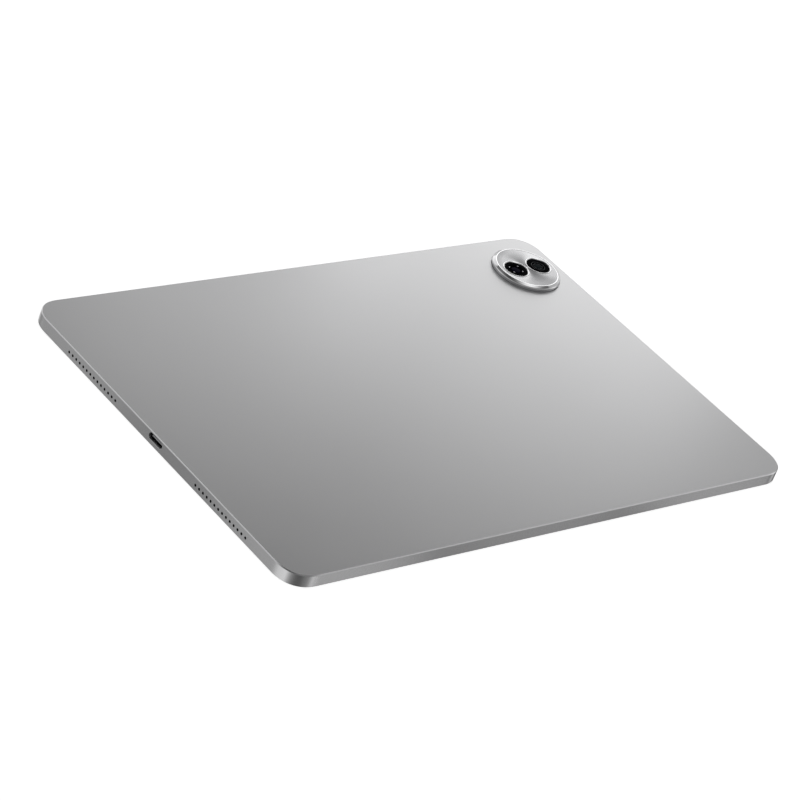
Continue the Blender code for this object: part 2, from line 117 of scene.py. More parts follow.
# ---------------------------------------------------------------- materials
class Finish:
    """A Principled material with its pattern built from the piece's own coordinates, in metres."""

    def __init__(self, name, colour, roughness, metallic=0.0, **sockets):
        self.mat = bpy.data.materials.new(name)
        self.mat.use_nodes = True
        self.tree = self.mat.node_tree
        self.bsdf = self.tree.nodes["Principled BSDF"]
        self.set("Base Color", (*colour, 1.0))
        self.set("Roughness", roughness)
        self.set("Metallic", metallic)
        for k, v in sockets.items():
            self.set(k.replace("_", " "), v)
        self.place = None

    def set(self, socket, value):
        s = self.bsdf.inputs[socket] if isinstance(socket, str) else socket
        if isinstance(value, bpy.types.NodeSocket):
            self.tree.links.new(value, s)
        else:
            s.default_value = value

    def new(self, kind, sockets=None, **props):
        n = self.tree.nodes.new(kind)
        for k, v in props.items():
            setattr(n, k, v)
        for k, v in (sockets or {}).items():
            self.set(n.inputs[k], v)
        return n

    def where(self):
        if self.place is None:
            self.place = self.new("ShaderNodeTexCoord").outputs["Object"]
        return self.place

    def moved(self, offset=(0, 0, 0), stretch=(1, 1, 1)):
        return self.new("ShaderNodeMapping", {"Vector": self.where(), "Location": offset, "Scale": stretch}).outputs["Vector"]

    def split(self, vector=None):
        return self.new("ShaderNodeSeparateXYZ", {"Vector": vector or self.where()}).outputs

    def noise(self, size, detail=2.0, vector=None, rough=0.5):
        """Noise whose features are about size metres across."""
        return self.new("ShaderNodeTexNoise", {
            "Vector": vector or self.where(), "Scale": 1.0 / size, "Detail": detail, "Roughness": rough}).outputs["Fac"]

    def math(self, operation, a, b=0.0, c=0.0, clamp=False):
        n = self.new("ShaderNodeMath", operation=operation, use_clamp=clamp)
        for i, v in enumerate((a, b, c)):
            self.set(n.inputs[i], v)
        return n.outputs[0]

    def remap(self, value, lo, hi, to_lo, to_hi, kind="LINEAR"):
        return self.new("ShaderNodeMapRange", {
            "Value": value, "From Min": lo, "From Max": hi, "To Min": to_lo, "To Max": to_hi,
        }, interpolation_type=kind, clamp=True).outputs[0]

    def mix(self, share, a, b):
        n = self.new("ShaderNodeMix", data_type="RGBA")
        self.set(n.inputs[0], share)
        self.set(n.inputs[6], (*a, 1.0) if isinstance(a, tuple) else a)
        self.set(n.inputs[7], (*b, 1.0) if isinstance(b, tuple) else b)
        return n.outputs[2]

    def bump(self, height, distance, strength=1.0, under=None):
        s = {"Height": height, "Distance": distance, "Strength": strength}
        if under is not None:
            s["Normal"] = under
        return self.new("ShaderNodeBump", s).outputs["Normal"]

    def radius(self, centre):
        """Distance from the upright axis through centre, in metres."""
        x, y, _ = self.split()
        dx = self.math("SUBTRACT", x, centre[0] * MM)
        dy = self.math("SUBTRACT", y, centre[1] * MM)
        return self.math("SQRT", self.math("ADD", self.math("MULTIPLY", dx, dx), self.math("MULTIPLY", dy, dy)))

    def azimuth(self, centre):
        x, y, _ = self.split()
        return self.math("ARCTAN2", self.math("SUBTRACT", y, centre[1] * MM), self.math("SUBTRACT", x, centre[0] * MM))


def satin_aluminium(name, colour, roughness, grain, depth):
    """Bead-blasted and anodised aluminium: a fine even grain with very slight drifts of tone."""
    f = Finish(name, colour, roughness, 1.0)
    fine = f.noise(grain, 3.0, rough=0.6)
    drift = f.noise(0.045, 1.0)
    tone = f.math("ADD", f.remap(fine, 0.3, 0.7, -0.012, 0.012), f.remap(drift, 0.3, 0.7, -0.006, 0.006))
    bright = tuple(min(1.0, c * 1.04) for c in colour)
    dull = tuple(c * 0.96 for c in colour)
    f.set("Base Color", f.mix(f.math("ADD", f.math("MULTIPLY", tone, 12.0), 0.5, clamp=True), dull, bright))
    f.set("Roughness", f.math("ADD", f.remap(fine, 0.3, 0.7, -0.02, 0.02), f.remap(drift, 0.3, 0.7, roughness - 0.006, roughness + 0.006)))
    f.set("Normal", f.bump(fine, depth, 0.5))
    return f.mat


def polished(name, colour, roughness, streak=0.0002):
    """Cut or polished metal with faint tool marks."""
    f = Finish(name, colour, roughness, 1.0)
    marks = f.noise(streak, 2.0)
    wear = f.noise(0.004, 3.0)
    f.set("Roughness", f.math("ADD", f.remap(marks, 0.3, 0.7, -0.015, 0.015), f.remap(wear, 0.35, 0.7, roughness, roughness + 0.03)))
    f.set("Base Color", f.mix(f.remap(wear, 0.3, 0.7, 0.0, 1.0), tuple(c * 0.985 for c in colour), colour))
    f.set("Normal", f.bump(marks, 0.0000012, 0.5))
    return f.mat


BACK = satin_aluminium("satin_back", (0.70, 0.70, 0.706), 0.36, 0.00016, 0.0000025)
SIDE = satin_aluminium("satin_side", (0.70, 0.70, 0.706), 0.22, 0.00012, 0.0000012)
CUT = polished("diamond_cut_edge", (0.86, 0.86, 0.87), 0.13)
INSIDE = satin_aluminium("machined_inside", (0.62, 0.62, 0.63), 0.45, 0.0006, 0.000004)


def ring_finish():
    """Polished camera ring: fine turning lines round it and a slight cross grain."""
    f = Finish("polished_ring", (0.87, 0.87, 0.88), 0.11, 1.0)
    r = f.radius(BUMP_C)
    lines = f.noise(0.00006, 1.0, f.new("ShaderNodeCombineXYZ", {"X": r, "Y": 0.0, "Z": f.split()[2]}).outputs[0])
    haze = f.noise(0.003, 2.0)
    f.set("Roughness", f.math("ADD", f.remap(lines, 0.3, 0.7, -0.012, 0.012), f.remap(haze, 0.3, 0.7, 0.1, 0.125)))
    bright = f.mix(f.remap(haze, 0.3, 0.7, 0.0, 1.0), (0.88, 0.88, 0.89), (0.91, 0.91, 0.92))
    # the side below the bevel is only turned, and greyer
    side = f.math("MULTIPLY", f.remap(r, 0.01590, 0.01608, 0.0, 1.0), f.remap(f.split()[2], 0.00670, 0.00700, 1.0, 0.0))
    f.set("Base Color", f.mix(side, bright, (0.50, 0.50, 0.51)))
    f.set("Normal", f.bump(lines, 0.0000008, 0.5))
    return f.mat


def spun_finish():
    """Spun plate: concentric grooves, so highlights spread into fans, with darker fans painted into the colour each
    side of the lenses (painted reflection and painted shade).
    """
    f = Finish("spun_plate", (0.80, 0.80, 0.81), 0.27, 1.0, Anisotropic=0.75)
    r = f.radius(BUMP_C)
    flat = f.new("ShaderNodeCombineXYZ", {"X": r, "Y": 0.0, "Z": 0.0}).outputs[0]
    grooves = f.noise(0.00009, 2.0, flat)
    wide = f.noise(0.0011, 2.0, flat)
    az = f.azimuth(BUMP_C)

    # painted reflection and painted shade: soft darker sectors painted into the colour, standing in for the dark fans
    # the spun grooves reflect and for the shade by the ring's lip: (middle, half width near and far from the centre,
    # depth near and far, from and to radius)
    def painted_sector(middle_az, half, depth, reach):
        near = f.math("COSINE", f.math("SUBTRACT", az, math.radians(middle_az)))
        edge = f.remap(r, reach[0], reach[1], math.cos(math.radians(half[0])), math.cos(math.radians(half[1])))
        return f.math("MULTIPLY", f.remap(near, edge, 1.0, 0.0, 1.0, "SMOOTHSTEP"), f.remap(r, reach[0], reach[1], *depth))

    painted_fans = f.math("ADD", painted_sector(85.0, (37.0, 48.0), (0.72, 0.17), (0.005, 0.0125)), painted_sector(271.0, (37.0, 50.0), (0.88, 0.45), (0.005, 0.0125)))
    painted_fans = f.math("ADD", painted_fans, painted_sector(134.0, (40.0, 50.0), (0.0, 0.28), (0.0115, 0.0136)))
    painted_fans = f.math("ADD", painted_fans, painted_sector(224.0, (26.0, 30.0), (0.0, 0.14), (0.008, 0.0105)), clamp=True)
    light = f.mix(f.remap(wide, 0.3, 0.7, 0.0, 1.0), (0.61, 0.61, 0.62), (0.64, 0.64, 0.65))
    # painted reflection and painted shade: the fans darken the plate's colour towards grey-black
    f.set("Base Color", f.mix(painted_fans, light, (0.09, 0.09, 0.094)))
    f.set("Roughness", f.math("ADD", f.remap(grooves, 0.3, 0.7, -0.03, 0.03), f.remap(wide, 0.3, 0.7, 0.24, 0.29)))
    f.set("Normal", f.bump(grooves, 0.0000015, 0.6))
    f.set("Tangent", f.new("ShaderNodeTangent", direction_type="RADIAL", axis="Z").outputs["Tangent"])
    return f.mat


RING, SPUN = ring_finish(), spun_finish()
LENS_RIM = polished("polished_lens_rim", (0.90, 0.90, 0.91), 0.10, 0.0001)


def lens_black(name, roughness, gloss):
    f = Finish(name, (0.003, 0.003, 0.004), roughness, 0.0, IOR=1.45, Specular_IOR_Level=gloss)
    f.set("Base Color", f.mix(f.noise(0.002, 2.0), (0.0022, 0.0022, 0.003), (0.004, 0.004, 0.005)))
    f.set("Roughness", f.remap(f.noise(0.0005, 2.0), 0.3, 0.7, roughness, roughness + 0.03))
    return f.mat


def coated_lens(name, centre, inner, outer, tint, reach):
    """Front element of a lens: deep, with a faint coated tint that changes towards its edge."""
    f = Finish(name, inner, 0.08, 0.0, IOR=1.5, Specular_IOR_Level=0.004)
    r = f.radius(centre)
    ring = f.remap(r, 0.0, reach * MM, 0.0, 1.0)
    body = f.mix(ring, inner, outer)
    band = f.math("SINE", f.math("MULTIPLY", r, 2 * math.pi / (reach * MM * 0.42)))
    f.set("Base Color", f.mix(f.remap(band, 0.2, 1.0, 0.0, 0.45, "SMOOTHSTEP"), body, tint))
    return f.mat


LENS_BLACK = lens_black("lens_cover_black", 0.05, 0.002)
BARREL = lens_black("lens_barrel_black", 0.3, 0.0)
STEP = Finish("lens_step", (0.06, 0.065, 0.07), 0.35, 0.0, Specular_IOR_Level=0.3)
STEP.set("Base Color", STEP.mix(STEP.noise(0.0009, 2.0), (0.07, 0.078, 0.085), (0.20, 0.21, 0.22)))
STEP = STEP.mat
# painted highlight: a pale colour standing in for glints of light on the lens barrel
GLINT = Finish("painted_glint_spot", (0.70, 0.69, 0.74), 0.35, 0.2)
GLINT.set("Base Color", GLINT.mix(GLINT.noise(0.0003, 2.0), (0.62, 0.61, 0.68), (0.80, 0.79, 0.84)))
GLINT = GLINT.mat
ELEMENT = {
    "second": coated_lens("coated_element_violet", LENS["second"], (0.005, 0.004, 0.012), (0.010, 0.008, 0.022), (0.014, 0.010, 0.030), 2.2),
    "main": coated_lens("coated_element_teal", LENS["main"], (0.022, 0.030, 0.034), (0.003, 0.005, 0.006), (0.010, 0.014, 0.016), 2.4),
}


def glass_front():
    """Black glass front: an even printed border round the slightly lighter screen, and the small front camera."""
    f = Finish("black_glass", (0.004, 0.004, 0.005), 0.045, 0.0, IOR=1.5, Coat_Weight=0.25, Coat_Roughness=0.03)
    x, y, _ = f.split()
    px = f.math("SUBTRACT", f.math("ABSOLUTE", x), (W / 2 - PANEL_INSET - 8.0) * MM)
    py = f.math("SUBTRACT", f.math("ABSOLUTE", y), (H / 2 - PANEL_INSET - 8.0) * MM)
    ox, oy = f.math("MAXIMUM", px, 0.0), f.math("MAXIMUM", py, 0.0)
    far = f.math("SQRT", f.math("ADD", f.math("MULTIPLY", ox, ox), f.math("MULTIPLY", oy, oy)))
    dist = f.math("ADD", far, f.math("MINIMUM", f.math("MAXIMUM", px, py), 0.0))
    screen = f.remap(dist, 0.00795, 0.00805, 1.0, 0.0)
    cells = f.noise(0.0003, 1.0)
    lit = f.mix(f.remap(cells, 0.3, 0.7, 0.0, 1.0), (0.0085, 0.0088, 0.0105), (0.0115, 0.0118, 0.0140))
    border = f.mix(f.noise(0.003, 2.0), (0.0030, 0.0030, 0.0034), (0.0042, 0.0042, 0.0046))
    body = f.mix(screen, border, lit)
    # front camera and light sensor windows in the border
    r = f.radius((0.0, 86.0))
    halo = f.math("MULTIPLY", f.remap(r, 0.00105, 0.00112, 0.0, 1.0), f.remap(r, 0.00128, 0.00135, 1.0, 0.0))
    body = f.mix(halo, body, (0.055, 0.055, 0.06))
    body = f.mix(f.remap(r, 0.00025, 0.00085, 0.9, 0.0), body, (0.012, 0.014, 0.034))
    s = middle("light_sensor")
    rs = f.radius((s.x, s.y))
    body = f.mix(f.remap(rs, 0.00065, 0.00075, 0.7, 0.0), body, (0.016, 0.012, 0.014))
    f.set("Base Color", body)
    smear = f.noise(0.03, 3.0)
    f.set("Roughness", f.remap(smear, 0.35, 0.75, 0.04, 0.075))
    return f.mat


def moulded(name, colour, roughness, grain=0.00025, depth=0.000006, lift=0.35):
    """Moulded plastic: a fine spark-eroded texture."""
    f = Finish(name, colour, roughness)
    n = f.noise(grain, 3.0)
    f.set("Base Color", f.mix(n, tuple(c * (1 - lift) for c in colour), tuple(c * (1 + lift) for c in colour)))
    f.set("Roughness", f.remap(n, 0.3, 0.7, roughness - 0.06, roughness + 0.06))
    f.set("Normal", f.bump(n, depth, 0.6))
    return f.mat


def circuit():
    """Green solder mask over copper: tracks, and gold pads along a grid."""
    f = Finish("circuit_board", (0.012, 0.06, 0.035), 0.35)
    b = f.new("ShaderNodeTexBrick", {
        "Vector": f.where(), "Scale": 260.0, "Mortar Size": 0.03, "Mortar Smooth": 0.2,
        "Color1": (0.010, 0.052, 0.030, 1), "Color2": (0.014, 0.072, 0.042, 1), "Mortar": (0.03, 0.11, 0.06, 1)})
    v = f.new("ShaderNodeTexVoronoi", {"Vector": f.where(), "Scale": 420.0})
    pads = f.remap(v.outputs["Distance"], 0.16, 0.20, 1.0, 0.0)
    pads = f.math("MULTIPLY", pads, f.remap(f.noise(0.012, 1.0), 0.5, 0.56, 0.0, 1.0))
    f.set("Base Color", f.mix(pads, b.outputs["Color"], (0.75, 0.52, 0.20)))
    f.set("Metallic", pads)
    f.set("Roughness", f.remap(f.noise(0.002, 2.0), 0.3, 0.7, 0.28, 0.42))
    f.set("Normal", f.bump(b.outputs["Fac"], 0.00002, 0.5))
    return f.mat


def foil_cell():
    """Pouch cell in matt black foil with soft wrinkles."""
    f = Finish("cell_foil", (0.02, 0.02, 0.022), 0.5)
    n = f.noise(0.02, 4.0)
    f.set("Base Color", f.mix(f.noise(0.002, 2.0), (0.016, 0.016, 0.018), (0.030, 0.030, 0.033)))
    f.set("Roughness", f.remap(n, 0.3, 0.7, 0.42, 0.6))
    f.set("Normal", f.bump(n, 0.00015, 0.5))
    return f.mat


def flex_film():
    """Amber polyimide flat cable with copper tracks showing through."""
    f = Finish("flex_film", (0.30, 0.13, 0.02), 0.35)
    w = f.new("ShaderNodeTexWave", {"Vector": f.where(), "Scale": 320.0, "Distortion": 0.0}, wave_type="BANDS", bands_direction="DIAGONAL")
    track = f.remap(w.outputs["Fac"], 0.4, 0.6, 0.0, 1.0)
    f.set("Base Color", f.mix(track, (0.24, 0.10, 0.016), (0.42, 0.19, 0.045)))
    f.set("Roughness", f.remap(f.noise(0.004, 2.0), 0.3, 0.7, 0.28, 0.42))
    f.set("Normal", f.bump(track, 0.00001, 0.5))
    return f.mat


def tinned(name, colour, roughness):
    """Tinned or plated sheet: small crystals and handling marks."""
    f = Finish(name, colour, roughness, 1.0)
    v = f.new("ShaderNodeTexVoronoi", {"Vector": f.where(), "Scale": 900.0})
    n = f.noise(0.003, 3.0)
    f.set("Base Color", f.mix(f.remap(v.outputs["Distance"], 0.0, 0.8, 0.0, 1.0), tuple(c * 0.93 for c in colour), colour))
    f.set("Roughness", f.remap(n, 0.3, 0.7, roughness - 0.05, roughness + 0.07))
    f.set("Normal", f.bump(n, 0.000008, 0.4))
    return f.mat


def graphite():
    f = Finish("graphite_sheet", (0.045, 0.045, 0.047), 0.5, 0.35)
    n = f.noise(0.0006, 3.0, f.moved(stretch=(1.0, 0.25, 1.0)))
    f.set("Base Color", f.mix(n, (0.03, 0.03, 0.032), (0.065, 0.065, 0.068)))
    f.set("Roughness", f.remap(n, 0.3, 0.7, 0.42, 0.62))
    f.set("Normal", f.bump(n, 0.00001, 0.5))
    return f.mat


def woven():
    """Fine acoustic mesh behind the sound holes."""
    f = Finish("sound_mesh", (0.012, 0.012, 0.012), 0.8)
    _, y, z = f.split()
    pitch = 2 * math.pi / 0.00018
    weave = f.math("MULTIPLY", f.math("SINE", f.math("MULTIPLY", y, pitch)), f.math("SINE", f.math("MULTIPLY", z, pitch)))
    f.set("Base Color", f.mix(f.remap(weave, -0.4, 0.6, 0.0, 1.0), (0.006, 0.006, 0.006), (0.022, 0.022, 0.022)))
    f.set("Normal", f.bump(weave, 0.00003, 0.8))
    return f.mat


def panel():
    """The lit panel under the glass, switched off."""
    f = Finish("screen_panel", (0.012, 0.012, 0.015), 0.25)
    x, y, _ = f.split()
    pitch = 2 * math.pi / 0.0001
    cells = f.math("MULTIPLY", f.math("SINE", f.math("MULTIPLY", x, pitch)), f.math("SINE", f.math("MULTIPLY", y, pitch)))
    f.set("Base Color", f.mix(f.remap(cells, -1.0, 1.0, 0.0, 1.0), (0.010, 0.010, 0.013), (0.016, 0.016, 0.020)))
    f.set("Roughness", f.remap(f.noise(0.02, 2.0), 0.3, 0.7, 0.22, 0.3))
    return f.mat


GLASS = glass_front()
BLACK = moulded("black_plastic", (0.018, 0.018, 0.019), 0.5)
GASKET = moulded("gasket_black", (0.010, 0.010, 0.011), 0.42, 0.0002, 0.000004)
BOARD, CELL, FLEX = circuit(), foil_cell(), flex_film()
CAN = tinned("tinned_steel", (0.62, 0.62, 0.60), 0.28)
GRAPHITE, MESH, PANEL = graphite(), woven(), panel()
STEEL = tinned("screw_steel", (0.50, 0.50, 0.51), 0.26)
MAGNET = tinned("plated_magnet", (0.60, 0.60, 0.58), 0.22)
SENSOR = moulded("sensor_black", (0.016, 0.016, 0.018), 0.3, 0.0002, 0.000003)
# painted shade: the socket shell gets a near-black colour because its inside lies in shade
SHELL_SHADE = tinned("usb_shell_painted_shade", (0.05, 0.05, 0.053), 0.35)
GOLD = tinned("contact_gold", (0.80, 0.58, 0.26), 0.22)
# painted highlight: the tongue plastic is lightened to grey to stand in for light catching its edge in the opening
TONGUE_LIT = moulded("tongue_painted_highlight", (0.30, 0.30, 0.31), 0.30, 0.0001, 0.000002, 0.1)
# painted shade: near-black colour for the sound hole walls, whose insides lie in shade
HOLE_SHADE = moulded("hole_wall_painted_shade", (0.012, 0.012, 0.013), 0.6, 0.0001, 0.000002)


# ---------------------------------------------------------------- outlines
def outline(inset, segs=36):
    """The tablet's outline moved inwards by inset, anticlockwise, in mm. A support point just inside each straight run keeps the long walls flat in shading."""
    hx, hy, a = W / 2 - inset, H / 2 - inset, CORNER - inset
    pts = []
    for sx, sy, start in ((1, 1, 0), (-1, 1, 1), (-1, -1, 2), (1, -1, 3)):
        arc = []
        for k in range(segs + 1):
            t = (k / segs) * math.pi / 2
            c, s = math.cos(t) ** (2 / CORNER_POWER), math.sin(t) ** (2 / CORNER_POWER)
            arc.append((sx * (hx - a + a * c), sy * (hy - a + a * s)))
        arc = [(sx * hx, sy * (hy - a - 0.7))] + arc + [(sx * (hx - a - 0.7), sy * hy)]
        pts += arc if start % 2 == 0 else arc[::-1]
    return pts


def pill(width, height, segs=16):
    r = height / 2
    pts = []
    for side in (1, -1):
        for k in range(segs + 1):
            t = -math.pi / 2 + math.pi * k / segs
            pts.append((side * (width / 2 - r + r * math.cos(t)), side * r * math.sin(t)))
    return pts


def circle(r, segs=32, centre=(0.0, 0.0)):
    return [(centre[0] + r * math.cos(2 * math.pi * k / segs), centre[1] + r * math.sin(2 * math.pi * k / segs)) for k in range(segs)]


def rounded_profile(corners, steps=6):
    """A path through (a, b, radius) corners, each corner with a radius turned into an arc; open, first and last kept sharp."""
    out = []
    for i, (a, b, r) in enumerate(corners):
        if r <= 0 or i in (0, len(corners) - 1):
            out.append((a, b))
            continue
        p, q, n = Vector(corners[i - 1][:2]), Vector((a, b)), Vector(corners[i + 1][:2])
        u, v = (p - q).normalized(), (n - q).normalized()
        half = math.acos(max(-1.0, min(1.0, u.dot(v)))) / 2
        reach = r / math.tan(half)
        centre = q + (u + v).normalized() * (r / math.sin(half))
        s, e = q + u * reach - centre, q + v * reach - centre
        a0 = math.atan2(s.y, s.x)
        turn = (math.atan2(e.y, e.x) - a0 + math.pi) % (2 * math.pi) - math.pi
        for k in range(steps + 1):
            t = a0 + turn * k / steps
            out.append((centre.x + r * math.cos(t), centre.y + r * math.sin(t)))
    return out


# ---------------------------------------------------------------- builders
def up(pts, z):
    return [(x, y, z) for x, y in pts]


def loft(loops, caps=True, closed=False, bm=None):
    bm = bm or bmesh.new()
    rows = [[bm.verts.new(p) for p in loop] for loop in loops]
    n = len(rows[0])
    pairs = list(zip(rows, rows[1:])) + ([(rows[-1], rows[0])] if closed else [])
    for a, b in pairs:
        for i in range(n):
            j = (i + 1) % n
            bm.faces.new((a[i], a[j], b[j], b[i]))
    if caps and not closed:
        bm.faces.new(rows[0])
        bm.faces.new(rows[-1])
    return bm


def turned(profile, centre, segs, closed=True, wobble=None):
    """Turned about the upright axis through centre, from (radius, z) points. wobble moves a point: (radius, z, angle) -> (radius, z)."""
    loops = []
    for r, z in profile:
        loop = []
        for k in range(segs):
            t = 2 * math.pi * k / segs
            rr, zz = wobble(r, z, t) if wobble else (r, z)
            loop.append((centre[0] + rr * math.cos(t), centre[1] + rr * math.sin(t), zz))
        loops.append(loop)
    return loft(loops, closed=closed)


def along_x(pts_list, y=0.0, z=0.0):
    """Solid along X through [(x, outline)] sections, outlines in the YZ plane."""
    return loft([[(x, y + a, z + b) for a, b in pts] for x, pts in pts_list])


def along_y(pts_list, x=0.0, z=0.0):
    return loft([[(x + a, y, z + b) for a, b in pts] for y, pts in pts_list])


def gather(parts):
    out = bmesh.new()
    for part in parts:
        bmesh.ops.recalc_face_normals(part, faces=part.faces[:])
        table = {v: out.verts.new(v.co) for v in part.verts}
        for f in part.faces:
            g = out.faces.new([table[v] for v in f.verts])
            g.material_index = f.material_index
        part.free()
    return out


def block(x0, x1, y0, y1, z0, z1, edge=0.0):
    bm = loft([up([(x0, y0), (x1, y0), (x1, y1), (x0, y1)], z) for z in (z0, z1)])
    if edge:
        bmesh.ops.recalc_face_normals(bm, faces=bm.faces[:])
        bmesh.ops.bevel(bm, geom=bm.edges[:], offset=edge, segments=2, profile=0.5, affect="EDGES")
    return bm


def make(name, bm, mats, sharp=30.0, hidden=False):
    bmesh.ops.recalc_face_normals(bm, faces=bm.faces[:])
    for v in bm.verts:
        v.co *= MM
    me = bpy.data.meshes.new(name)
    bm.to_mesh(me)
    bm.free()
    for m in mats:
        me.materials.append(m)
    ob = bpy.data.objects.new(name, me)
    scene.collection.objects.link(ob)
    if hidden:
        ob.hide_render = True
    else:
        me.shade_smooth()
        me.set_sharp_from_angle(angle=math.radians(sharp))
    return ob


def cut(ob, tools, sharp=30.0):
    """Boolean steps on ob with (kind, bmesh) tools, leaving one clean mesh."""
    helpers = []
    for i, (kind, bm) in enumerate(tools):
        h = make(f"{ob.name}_tool_{i}", bm, [], hidden=True)
        helpers.append(h)
        m = ob.modifiers.new(h.name, "BOOLEAN")
        m.operation, m.solver, m.object = kind, "EXACT", h
    bpy.context.view_layer.update()
    dg = bpy.context.evaluated_depsgraph_get()
    me = bpy.data.meshes.new_from_object(ob.evaluated_get(dg), preserve_all_data_layers=True, depsgraph=dg)
    ob.modifiers.clear()
    ob.data = me
    for h in helpers:
        bpy.data.objects.remove(h, do_unlink=True)
    me.name = ob.name
    me.shade_smooth()
    me.set_sharp_from_angle(angle=math.radians(sharp))
    return ob


def put(ob, body, slot, *nodes):
    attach(ob, body)
    if nodes:
        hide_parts(*nodes)
    return ob


# ---------------------------------------------------------------- rear housing
housing = make("housing_shell", loft([
    up(outline(CHAMFER), T),
    up(outline(0.0), T - CHAMFER),
    up(outline(0.0), RIM_Z + 0.15),
    up(outline(0.15), RIM_Z),
    up(outline(WALL), RIM_Z),
    up(outline(WALL), BACK_IN_Z),
]), [BACK, SIDE, CUT, INSIDE, HOLE_SHADE])

EDGE = 0.09   # small break round each opening


def flared(shape, size, out, edge=EDGE):
    """Sections of an opening cut inwards from a flat edge: wider by edge at the surface."""
    return [(out + 1.0, shape(*[s + 2 * edge for s in size])), (out + edge * 0.02, shape(*[s + 2 * edge for s in size])),
            (out - edge, shape(*size)), (out - WALL - 0.5, shape(*size))]


def sound(d):
    return circle(d / 2, 28)


def mirrored(sections):
    return [(-v, pts) for v, pts in sections]


holes = []
for k in range(SOUND_COUNT):
    for s in (1, -1):
        y = s * (SOUND_FIRST + k * SOUND_PITCH)
        sec = flared(sound, (2 * SOUND_R + 0.04,), W / 2, 0.03)
        holes.append(along_x(sec, y, SOUND_Z))
        holes.append(along_x(mirrored(sec), y, SOUND_Z))

tools = [
    ("UNION", gather([turned([(1.6, 3.7), (1.6, BACK_IN_Z + 0.3)], (c.x, c.y), 24, closed=False) for c in SCREWS])),
    ("DIFFERENCE", gather([turned([(0.75, 3.4), (0.75, 4.6)], (c.x, c.y), 20, closed=False) for c in SCREWS])),
    ("DIFFERENCE", turned([(BUMP_R + 0.14, 5.3), (BUMP_R + 0.14, T - 0.05), (BUMP_R + 0.2, T + 0.01), (BUMP_R + 0.2, T + 1)], BUMP_C, 192, closed=False)),
    ("DIFFERENCE", turned([(13.2, 4.0), (13.2, T + 1)], BUMP_C, 96, closed=False)),
    ("DIFFERENCE", gather(holes)),
    ("DIFFERENCE", along_x(mirrored(flared(pill, (8.8, 2.9), W / 2)), 0.0, USB_Z)),
    ("DIFFERENCE", loft([up([(-136.0, -5.2), (-127.5, -5.2), (-127.5, 5.2), (-136.0, 5.2)], z) for z in (4.5, 5.35)])),
    ("DIFFERENCE", along_x(flared(pill, (POWER_LEN + 0.3, KEY_HIGH + 0.3), W / 2), POWER_Y, KEY_Z)),
    ("DIFFERENCE", along_y(flared(pill, (VOLUME_LEN + 0.3, KEY_HIGH + 0.3), H / 2), VOLUME_X, KEY_Z)),
    ("DIFFERENCE", gather([along_y([(v, circle(r, 20)) for v, r in ((H / 2 + 1, 0.45), (H / 2 - 0.06, 0.4), (H / 2 - WALL - 0.5, 0.4))], x, KEY_Z) for x in (-30.0, 30.0)])),
]
cut(housing, tools)

# Finish of each face, by where it lies.
for p in housing.data.polygons:
    c, n = p.center / MM, p.normal
    edge_gap = min(W / 2 - abs(c.x), H / 2 - abs(c.y))
    if c.z > T - 0.001 and n.z > 0.99:
        p.material_index = 0
    elif c.z > T - CHAMFER and 0.5 < n.z < 0.9 and math.hypot(c.x - BUMP_C[0], c.y - BUMP_C[1]) > BUMP_R + 0.3:
        p.material_index = 2
    elif abs(n.z) < 0.2 and c.z < T - 0.2 and abs(n.x) + abs(n.y) > 0.9 and (
            (c.x * n.x + c.y * n.y) > 0 and (edge_gap < 0.02 or (abs(c.x) > W / 2 - CORNER - 0.1 and abs(c.y) > H / 2 - CORNER - 0.1))) and c.z > RIM_Z:
        p.material_index = 1
    elif c.z < T - 0.6 and edge_gap < 0.2:
        p.material_index = 1
    elif c.z > T - 0.6:
        p.material_index = 1
    else:
        p.material_index = 3
    # painted shade: the walls inside the sound holes take the near-black finish
    if p.material_index in (1, 3) and abs(n.x) < 0.85 and abs(c.x) > W / 2 - WALL - 0.2 and SOUND_FIRST - 1 < abs(c.y) < SOUND_FIRST + SOUND_COUNT * SOUND_PITCH and abs(c.z - SOUND_Z) < SOUND_R + 0.1:
        p.material_index = 4
put(housing, "tablet", "satin_aluminium", "rear_housing")

# ---------------------------------------------------------------- glass front
glass_path = rounded_profile([(3.2, 0.0, 0), (GLASS_INSET, 0.0, 0.42), (GLASS_INSET, 0.6, 0)], 7)
glass = make("glass_front", loft([up(outline(i, 24), z) for i, z in [(8.0, 0.0)] + glass_path]), [GLASS], sharp=40.0)
put(glass, "tablet", "front_glass", "cover_glass")

# Black gasket between the glass and the wall, with a ledge behind the glass.
gasket = make("screen_gasket", loft([up(outline(i, 24), z) for i, z in (
    (WALL + 0.02, 0.33), (WALL + 0.02, 1.6), (2.8, 1.6), (2.8, 0.62), (GLASS_INSET - 0.02, 0.62), (GLASS_INSET - 0.02, 0.33),
)], closed=True), [GASKET], sharp=35.0)
put(gasket, "tablet", "black_plastic", "display_frame")

# ---------------------------------------------------------------- camera ring
TEETH = 200        # fine cross grain on the ring's outer slope
ring_path = rounded_profile([
    (BUMP_R, 5.55, 0), (BUMP_R, 7.20, 0.85), (14.66, RING_TOP, 0.12), (14.25, RING_TOP, 0.04), (14.25, 6.6, 0), (13.0, 6.6, 0), (13.0, 5.55, 0),
], 8)


def grained(r, z, t):
    """Sinks the slope by a few microns in fine radial strokes, fading out at its top and foot."""
    if z < 7.0 or r < 14.72 or r > BUMP_R - 0.02:
        return r, z
    share = min(1.0, (r - 14.72) / 0.5) * min(1.0, (BUMP_R - r) / 0.06)
    return r, z - 0.0035 * share * (0.5 + 0.5 * math.cos(TEETH * t) * (0.7 + 0.3 * math.cos(37 * t)))


